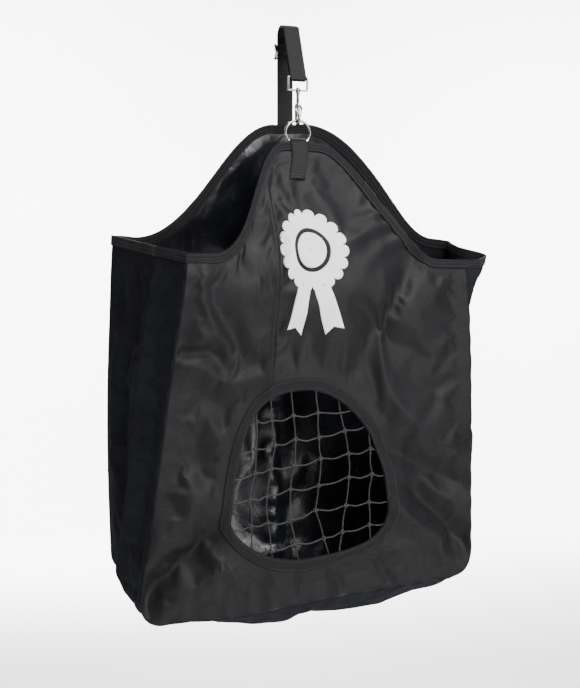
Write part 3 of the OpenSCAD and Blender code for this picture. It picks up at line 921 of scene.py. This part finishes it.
netMesh = bmesh.new()
columns, rows = range(len(net["columns"])), range(len(net["rows"]))
for i in columns:
    route = cordThrough([netNode(i, j) for j in rows], 0.5)
    if route:
        added(netMesh, twistedCord(route, net["cord"] * mm, 1.0 * mm, net["pitch"] * mm))
for j in rows:
    route = cordThrough([netNode(i, j) for i in columns], -0.7)
    if route:
        added(netMesh, twistedCord(route, net["cord"] * mm, 1.0 * mm, net["pitch"] * mm))
for i in columns:
    for j in rows:
        if inHoleBy(*netNode(i, j)) > net["inside"]:
            around = knot(netPlace(*netNode(i, j)), 1.3 * i + 2.1 * j, net["knot"] * mm)
            added(netMesh, twistedCord(around, net["knotCord"] * mm, 0.9 * mm, 5 * mm, sides=8))
feedNet = finished(netMesh, "feedNet", [netTwine])
belongs(feedNet, "bag", "net_cord", "feed_net")
print("net ready")

# The print on the front: a pleated rosette with two tails
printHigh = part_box("rosette_print")[1]
rosette = dict(radius=50.0, pleats=18, gapFrom=0.5, gapTo=0.62, tailWidth=24.0, tailLength=66.0, x=0.0,
               proud=0.35, cell=2.2)
rosette["h"] = (printHigh.z - seamZ) / mm - rosette["radius"] * (1 + math.sin(math.pi / rosette["pleats"]))


graph = bpy.context.evaluated_depsgraph_get()
frontTree = BVHTree.FromObject(frontPanel.evaluated_get(graph), graph)


def printPlace(x, h):
    # a place on the outside of the settled front panel, just proud of it
    place = frontPoint(x, h)
    hit = frontTree.ray_cast(Vector((place.x, -0.3, place.z)), Vector((0, 1, 0)))
    normal = Vector((0, -1, 0))
    if hit[0] is not None and abs(hit[0].y - place.y) < 45 * mm:
        place, normal = hit[0], hit[1]
    return place + normal * rosette["proud"] * mm


def rosetteEdge(a):
    # a ring of round pleats
    step = 2 * math.pi / rosette["pleats"]
    off = (a + step / 2) % step - step / 2
    bulge = rosette["radius"] * math.sin(step / 2)
    across = rosette["radius"] * math.sin(off)
    return rosette["radius"] * math.cos(off) + math.sqrt(max(0.0, bulge ** 2 - across ** 2))


def ringSheet(inner, outer):
    # a ring between two shares of the radius; the outermost one ends in the pleats
    rings = max(2, round((rosette["radius"] * (outer - inner)) / rosette["cell"]))

    def flatOf(s, t):
        a = 2 * math.pi * s
        edge = rosetteEdge(a) if outer >= 1 else outer * rosette["radius"]
        r = mix(inner * rosette["radius"], edge, t)
        return rosette["x"] + r * math.cos(a), rosette["h"] + r * math.sin(a)
    return sheet(360, rings, flatOf, printPlace)


def tailSheet(side):
    # a ribbon tail that widens downwards to a notched end
    slant = math.radians(16) * side

    def flatOf(s, t):
        wide = mix(rosette["tailWidth"] / 2, rosette["tailWidth"] * 0.6, 1 - t) * (2 * s - 1)
        notch = 0.3 * rosette["tailWidth"] * (1 - abs(2 * s - 1)) * ease((1 - t) * 1.2)
        down = rosette["radius"] * 1.06 + (1 - t) * rosette["tailLength"] - notch
        return (rosette["x"] + wide * math.cos(slant) + down * math.sin(slant),
                rosette["h"] + wide * math.sin(slant) - down * math.cos(slant))
    return sheet(12, 32, flatOf, printPlace)


ink = ringSheet(0.02, rosette["gapFrom"])
added(ink, ringSheet(rosette["gapTo"], 1.0))
added(ink, tailSheet(-1))
added(ink, tailSheet(1))
bmesh.ops.remove_doubles(ink, verts=ink.verts, dist=0.02 * mm)
for face in list(ink.faces):
    if face.normal.y > 0:
        face.normal_flip()
rosettePrint = finished(ink, "rosettePrint", [whiteInk])
thicken(rosettePrint, 0.25 * mm, 0)
belongs(rosettePrint, "bag", "white_print", "rosette_print")
print("print ready")


# The webbing, in millimetres
strap = dict(width=25.0, thick=1.5, ribPitch=3.6, ribHeight=0.4,
             cell=0.6,                  # length of one step along it
             selvedge=2,                # width of its thinner edges
             topBend=11.9,              # inside radius of its bend over the hook
             play=0.1)                  # between its layers, and round the wires


def arcPoints(centre, r, start, end, steps):
    return [(centre[0] + r * math.cos(math.radians(mix(start, end, k / steps))),
             centre[1] + r * math.sin(math.radians(mix(start, end, k / steps)))) for k in range(steps + 1)]


def webbing(route, width=strap["width"], thick=strap["thick"]):
    # a flat woven band along a route of (y, z) or (x, y, z) in millimetres, ribbed across
    line = smoothPath([Vector(p if len(p) == 3 else (0, *p)) for p in route], strap["cell"])
    count = len(line) - 1
    half = width / 2
    across = [-half + width * k / 10 for k in range(11)]
    profile = [(x if abs(x) < half - 0.1 else x * 0.985, 1) for x in across]
    profile += [(half, 0)] + [(x, -1) for x, _ in reversed(profile)] + [(-half, 0)]

    def placeOf(s, t):
        i = round(t * count)
        x, side = profile[round(s * len(profile)) % len(profile)]
        ahead = (line[min(i + 1, count)] - line[max(i - 1, 0)]).normalized()
        up = Vector((0, -ahead.z, ahead.y)).normalized()
        run = i * strap["cell"]
        rib = strap["ribHeight"] * abs(math.sin(math.pi * run / strap["ribPitch"]))
        selvedge = abs(x) >= half - strap["selvedge"]
        wall = thick / 2 * (0.8 if selvedge else 1) - strap["ribHeight"] + rib * (0.55 if selvedge else 1)
        return (line[i] + up * side * wall + Vector((x, 0, 0))) * mm
    length = count * strap["cell"] * mm
    return tube(len(profile), count, placeOf, lambda s, t: (s * 2 * (width + thick) * mm, t * length))


# The strap's route as seen from the side: the top bend, and the fold round the snap's eye
hang = (0.0, 0.0)
innerR = strap["topBend"]
outerR = innerR + strap["thick"] + strap["play"]
eyeLow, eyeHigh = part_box("snap_eye")
eyeWire = 3.0
eye = ((eyeLow.y + eyeHigh.y) / 2 / mm, eyeHigh.z / mm - eyeWire / 2)
foldR = eyeWire / 2 + strap["play"]
span = math.hypot(*eye)
spanA = math.degrees(math.atan2(eye[1], eye[0])) + 360
outerA = spanA - math.degrees(math.acos((outerR - foldR) / span))
innerA = spanA - math.degrees(math.acos((innerR + strap["thick"] + foldR) / span))
halfT = strap["thick"] / 2
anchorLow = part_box("hanging_strap")[0].z / mm
anchorOut = 1.4 + halfT             # from the back panel to the middle of the strap
rimClear = 6                        # the strap hangs free from this far above the rim
bendFrom = -60                      # it is straight up to here
anchorLength = bag["backPeak"] - anchorLow + seamZ / mm
anchorHeights = [anchorLow - seamZ / mm + k * anchorLength / 6 for k in range(6)]
strapRoute = [(backPoint(0, h).y / mm + anchorOut, h + seamZ / mm) for h in anchorHeights]
strapRoute += [(outerR + halfT, bag["backPeak"] + seamZ / mm + rimClear), (outerR + halfT, bendFrom)]
strapRoute += arcPoints(hang, outerR + halfT, 0, outerA, 24)
strapRoute += arcPoints(eye, foldR + halfT, outerA, innerA + 180, 16)
strapRoute += arcPoints(hang, innerR + halfT, innerA, 0, 24)
hangingStrap = finished(webbing(strapRoute), "hangingStrap", [webbingYarn])
belongs(hangingStrap, "bag", "webbing", "hanging_strap")

returnLow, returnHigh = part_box("strap_return")
returnY = (returnLow.y + returnHigh.y) / 2 / mm
returnRoute = [(returnY, returnHigh.z / mm - k * (returnHigh.z - returnLow.z) / mm / 4) for k in range(5)]
strapReturn = finished(webbing(returnRoute), "strapReturn", [webbingYarn])
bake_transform(strapReturn)
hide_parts("strap_return")

foldLow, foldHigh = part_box("strap_end_fold")
barY = (foldLow.y + foldHigh.y) / 2 / mm
barZ = (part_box("slider")[0].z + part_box("slider")[1].z) / 2 / mm
foldRoute = [(barY - 0.2, foldHigh.z / mm), (barY - 0.2, foldHigh.z / mm - 5)]
foldRoute += arcPoints((barY, barZ), foldR + halfT, 92, 440, 28)
strapEndFold = finished(webbing(foldRoute), "strapEndFold", [webbingYarn])
belongs(strapEndFold, "strap_slider", "webbing", "strap_end_fold")

# The tab goes up the front of the panel, round the ring's bar and down the back of the panel
tab = dict(width=24.5,
           loopR=2.1,                   # inside radius of its loop
           frontGap=1.9, backGap=2.6,   # from the panel's front to each layer
           rimGap=6, loopGap=3)         # where a layer leaves the panel, and where it meets the loop
ringWire = 4
ringLow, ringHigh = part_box("d_ring")
ringY = (ringLow.y + ringHigh.y) / 2 / mm
ringBarZ = ringLow.z / mm + ringWire / 2
loopMiddle = tab["loopR"] + halfT
legHeights = [mix(tabBottom, bag["frontPeak"] - tab["rimGap"], k / 5) for k in range(6)]
tabRoute = [tuple(frontPoint(0, h) / mm + Vector((0, -tab["frontGap"] - halfT, 0))) for h in legHeights]
tabRoute += [(ringY - loopMiddle, ringBarZ - tab["loopGap"])]
tabRoute += arcPoints((ringY, ringBarZ), loopMiddle, 180, 0, 16)
tabRoute += [(ringY + loopMiddle, ringBarZ - tab["loopGap"])]
tabRoute += [tuple(frontPoint(0, h) / mm + Vector((0, tab["backGap"] + halfT, 0)))
             for h in reversed(legHeights)]
ringTab = finished(webbing(tabRoute, tab["width"]), "ringTab", [webbingYarn])
belongs(ringTab, "bag", "webbing", "ring_tab")
print("webbing ready")


# A stitch's four points: place along it in its lengths, and height in its thicknesses
threadBend = ((-0.5, -0.7), (-0.25, 0.1), (0.25, 0.1), (0.5, -0.7))


def stitches(rows, name, body, stitch, *nodes):
    # rows of short threads, sunk at both ends; a row is a line of (place, outward) pairs
    length, gap, thick = stitch["length"], stitch["gap"], stitch["thick"]
    thread = bpy.data.curves.new(name, "CURVE")
    thread.dimensions = "3D"
    thread.bevel_depth = thick / 2
    thread.bevel_resolution = 1
    thread.use_fill_caps = True
    for points in rows:
        walked, target = 0.0, gap / 2
        for (a, outA), (b, outB) in zip(points, points[1:]):
            step = (b - a).length
            while walked + step > target and step > 0:
                t = (target - walked) / step
                place, ahead = a.lerp(b, t), (b - a).normalized()
                outward = outA.lerp(outB, t).normalized()
                spline = thread.splines.new("POLY")
                spline.points.add(3)
                for point, (run, lift) in zip(spline.points, threadBend):
                    point.co = (*(place + ahead * run * length + outward * lift * thick), 1)
                target += length + gap
            walked += step
    maker = bpy.data.objects.new(name, thread)
    scene.collection.objects.link(maker)
    mesh = bpy.data.meshes.new_from_object(maker.evaluated_get(bpy.context.evaluated_depsgraph_get()))
    bpy.data.objects.remove(maker)
    mesh.materials.clear()
    mesh.materials.append(blackThread)
    mesh.shade_smooth()
    piece = bpy.data.objects.new(name, mesh)
    scene.collection.objects.link(piece)
    belongs(piece, body, "thread", *nodes)


front = Vector((0, -1, 0))
webbingStitch = dict(length=2.4 * mm, gap=0.7 * mm, thick=0.8 * mm)
tapeStitch = dict(length=3.2 * mm, gap=1.1 * mm, thick=0.6 * mm)
endRowsUp = (2.5, 6)                # two rows of thread above the webbing's sewn end


def acrossWebbing(y, z, outward):
    # a row across the webbing, short of its edges
    return [(Vector((x * mm, y, z)), outward) for x in (-11, 11)]


tabRows = []
for h in (*(tabBottom + up for up in endRowsUp), bag["frontPeak"] - 16):
    place = frontPoint(0, h)
    row = acrossWebbing(place.y - (tab["frontGap"] + strap["thick"]) * mm, place.z, front)
    tabRows.append([(p + Vector((place.x, 0, 0)), outward) for p, outward in row])
stitches(tabRows, "tabStitching", "bag", webbingStitch, "tab_stitching")

anchorRows = []
for h in (*(anchorHeights[0] + up for up in endRowsUp), bag["backPeak"] - 22, bag["backPeak"] - 12):
    anchorRows.append(acrossWebbing(backPoint(0, h).y + (anchorOut + halfT) * mm, h * mm + seamZ, -front))
stitches(anchorRows, "anchorStitching", "bag", webbingStitch, "anchor_stitching")

endRows = [acrossWebbing(foldLow.y + 1.6 * mm, foldHigh.z - up * mm, front) for up in (2, 5)]
stitches(endRows, "strapEndStitching", "strap_slider", webbingStitch, "strap_end_stitching")

# The rows of thread along the tapes: inside and outside at the mouth, and two round the hole
mouthRows = []
for rim, placeOf, way in ((frontRim, frontPoint, -1), (backRim, backPoint, 1)):
    edge = alongPanel(rim, placeOf)
    for face in (1, -1):
        outward = Vector((0, way * face, 0))
        mouthRows.append([(edge(k / 260, bag["tape"] - 2.4) + outward * 1.65 * mm, outward)
                          for k in range(261)])
stitches(mouthRows, "mouthStitching", "bag", tapeStitch)
holeRows = []
for out in (hole["tape"] - 2.5, 3.0):
    holeRows.append([(frontPoint(*holePoint(math.radians(k), out)) + front * 1.5 * mm, front)
                     for k in range(361)])
stitches(holeRows, "holeStitching", "bag", tapeStitch)
print("stitching ready")


def refined(node, name, material, body, slot):
    # the part's own mesh, welded, with its edges softened as tumbling leaves them
    bm = bmesh.new()
    bm.from_mesh(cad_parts[node].data)
    bmesh.ops.remove_doubles(bm, verts=bm.verts, dist=0.005 * mm)
    bmesh.ops.dissolve_degenerate(bm, edges=bm.edges, dist=0.005 * mm)
    piece = finished(bm, name, [material])
    soft = piece.modifiers.new("soft", "BEVEL")
    soft.width = 0.25 * mm
    soft.segments = 2
    soft.limit_method = "ANGLE"
    soft.angle_limit = math.radians(35)
    belongs(piece, body, slot, node)


for node, name, body, slot, material in (
        ("d_ring", "dRing", "ring", "nickel_plate", nickelPlate),
        ("snap_eye", "snapEye", "eye", "nickel_plate", nickelPlate),
        ("snap_body", "snapBody", "hook", "nickel_plate", nickelPlate),
        ("snap_gate", "snapGate", "gate", "nickel_plate", nickelPlate),
        ("gate_pin", "gatePin", "hook", "steel_pin", pinSteel),
        ("gate_spring", "gateSpring", "hook", "spring_wire", pinSteel),
        ("slider", "strapSlider", "strap_slider", "nickel_plate", nickelPlate)):
    refined(node, name, material, body, slot)
print("metalwork ready")


def studioPaper():
    # matt white studio paper
    material, tree, shader = newMaterial("studio_paper", {"Roughness": 0.9, "Specular IOR Level": 0.2})
    dyed(tree, shader, grain(tree, 0.5, 2.0), "#f2f2f1", "#f7f7f6")
    return material


studio = dict(floorZ=-1.35, halfWidth=7.0, front=-7.0, back=5.4, curve=1.2, height=4.5)


def sweepPlace(x, t):
    # along the floor, round the bend and up the backdrop
    run = studio["back"] - studio["front"]
    bend = studio["curve"] * math.pi / 2
    s = t * (run + bend + studio["height"])
    if s < run:
        return Vector((x, studio["front"] + s, studio["floorZ"]))
    if s < run + bend:
        a = (s - run) / studio["curve"]
        return Vector((x, studio["back"] + studio["curve"] * math.sin(a),
                       studio["floorZ"] + studio["curve"] * (1 - math.cos(a))))
    return Vector((x, studio["back"] + studio["curve"],
                   studio["floorZ"] + studio["curve"] + s - run - bend))


bm = sheet(8, 90, lambda s, t: ((2 * s - 1) * studio["halfWidth"], t), sweepPlace)
floor = finished(bm, "studioFloor", [studioPaper()])

world = bpy.data.worlds.new("studio")
world.use_nodes = True
world.node_tree.nodes["Background"].inputs["Color"].default_value = colour("#ffffff")
world.node_tree.nodes["Background"].inputs["Strength"].default_value = 0.28
scene.world = world


def areaLight(name, place, target, size, power):
    data = bpy.data.lights.new(name, "AREA")
    data.shape = "RECTANGLE"
    data.size, data.size_y = size
    data.energy = power
    lamp = bpy.data.objects.new(name, data)
    lamp.location = place
    lamp.rotation_euler = (Vector(target) - Vector(place)).to_track_quat("-Z", "Y").to_euler()
    scene.collection.objects.link(lamp)


areaLight("keyLight", (0.2, -2.5, 1.3), (0, 0, -0.45), (1.0, 0.9), 62)
areaLight("fillLight", (0.95, -2.3, -0.15), (0, 0, -0.45), (0.8, 1.9), 35)
areaLight("topLight", (0.4, -0.7, 1.2), (-0.05, 0, -0.3), (1.2, 0.7), 30)
areaLight("backdropLeft", (0.2, 4.0, 1.2), (0.9, 6.6, -0.6), (2.2, 1.6), 620)
areaLight("backdropRight", (4.6, 4.0, 1.2), (4.2, 6.6, -0.6), (2.2, 1.6), 620)
areaLight("floorLight", (0.7, 1.9, 1.6), (0.8, 2.3, -1.35), (2.4, 1.2), 210)
print("floor and lights ready")
